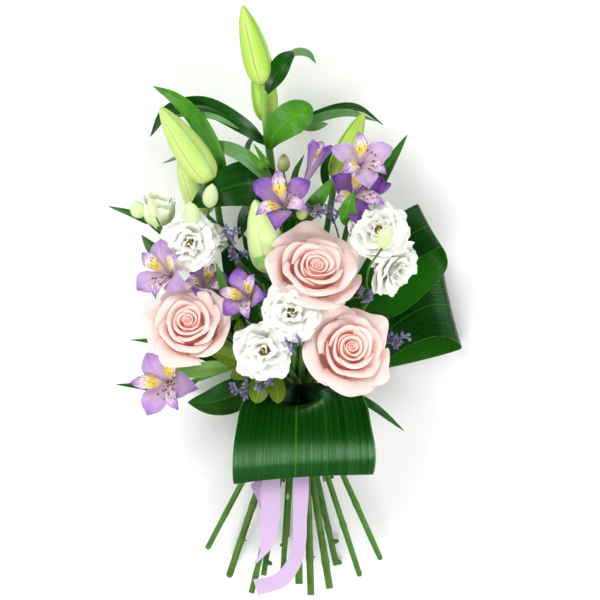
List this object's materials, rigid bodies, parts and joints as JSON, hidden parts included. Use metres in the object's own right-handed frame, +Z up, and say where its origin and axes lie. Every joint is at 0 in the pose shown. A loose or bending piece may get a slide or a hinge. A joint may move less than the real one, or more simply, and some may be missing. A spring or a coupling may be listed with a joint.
{
  "type": "mixed flower bouquet",
  "caption": "Hand-tied mixed bouquet lying on its back: roses, lily buds, alstroemeria, lisianthus, sea lavender and folded leaves, with stems bound by a ribbon with loose tails.",
  "frame": {"origin": "centre of the bounding box seen from above, on the surface that the bouquet lies on", "axes": "+Z up from the surface, towards the open faces of the blooms; +Y from the cut ends of the stems to the tip of the tallest lily bud; +X to the right seen from above"},
  "size_m": [0.356, 0.5922, 0.1545],
  "materials": {
    "rose_petal": "velvety petal, blush, deeper towards the heart",
    "lisianthus_petal": "matt white petal, faintly green at the base",
    "alstroemeria_petal": "lilac to purple petal, yellow throat with dark streaks",
    "lily_bud": "satin yellow-green bud with paler ribs",
    "stem": "satin green stem",
    "leaf": "satin dark green leaf",
    "olive_leaf": "olive to yellow-green leaf with a reddish edge",
    "aspidistra_leaf": "glossy dark green leaf with fine parallel veins",
    "sea_lavender": "dry blue-violet florets on green twigs",
    "ribbon": "satin lilac ribbon"
  },
  "bodies": {
    "root": {"rose_bloom_centre": "rose_petal", "rose_bloom_left": "rose_petal", "rose_bloom_right": "rose_petal", "lisianthus_centre_upper": "lisianthus_petal", "lisianthus_centre_lower": "lisianthus_petal", "lisianthus_left_front": "lisianthus_petal", "lisianthus_left_side": "lisianthus_petal", "lisianthus_left_goblet": "lisianthus_petal", "lisianthus_right_upper": "lisianthus_petal", "lisianthus_right_lower": "lisianthus_petal", "alstroemeria_bud": "alstroemeria_petal", "alstroemeria_top_front": "alstroemeria_petal", "alstroemeria_top_side": "alstroemeria_petal", "alstroemeria_right_pale": "alstroemeria_petal", "alstroemeria_right_dark": "alstroemeria_petal", "alstroemeria_left_front": "alstroemeria_petal", "alstroemeria_left_back": "alstroemeria_petal", "alstroemeria_left_inner": "alstroemeria_petal", "alstroemeria_low": "alstroemeria_petal", "lily_bud_tall_tip": "lily_bud", "lily_bud_tall_side": "lily_bud", "lily_bud_left_outer": "lily_bud", "lily_bud_left_inner": "lily_bud", "lily_bud_middle": "lily_bud", "lily_bud_right": "lily_bud", "rose_stem_centre": "stem", "rose_stem_left": "stem", "rose_stem_right": "stem", "lisianthus_stem_left": "stem", "lisianthus_stem_right": "stem", "lisianthus_stem_centre": "stem", "lily_stem_tall": "leaf", "lily_stem_left": "leaf", "lily_stem_right": "leaf", "alstroemeria_stem_top": "leaf", "alstroemeria_stem_right": "leaf", "alstroemeria_stem_left": "leaf", "alstroemeria_stem_low": "leaf", "foliage_left": "leaf", "foliage_olive": "olive_leaf", "aspidistra_collar": "aspidistra_leaf", "aspidistra_upper": "aspidistra_leaf", "aspidistra_lower": "aspidistra_leaf", "aspidistra_back": "aspidistra_leaf", "limonium_right": "sea_lavender", "limonium_left": "sea_lavender", "limonium_front": "sea_lavender", "ribbon_band": "ribbon", "ribbon_tails": "ribbon"}
  },
  "joints": []
}
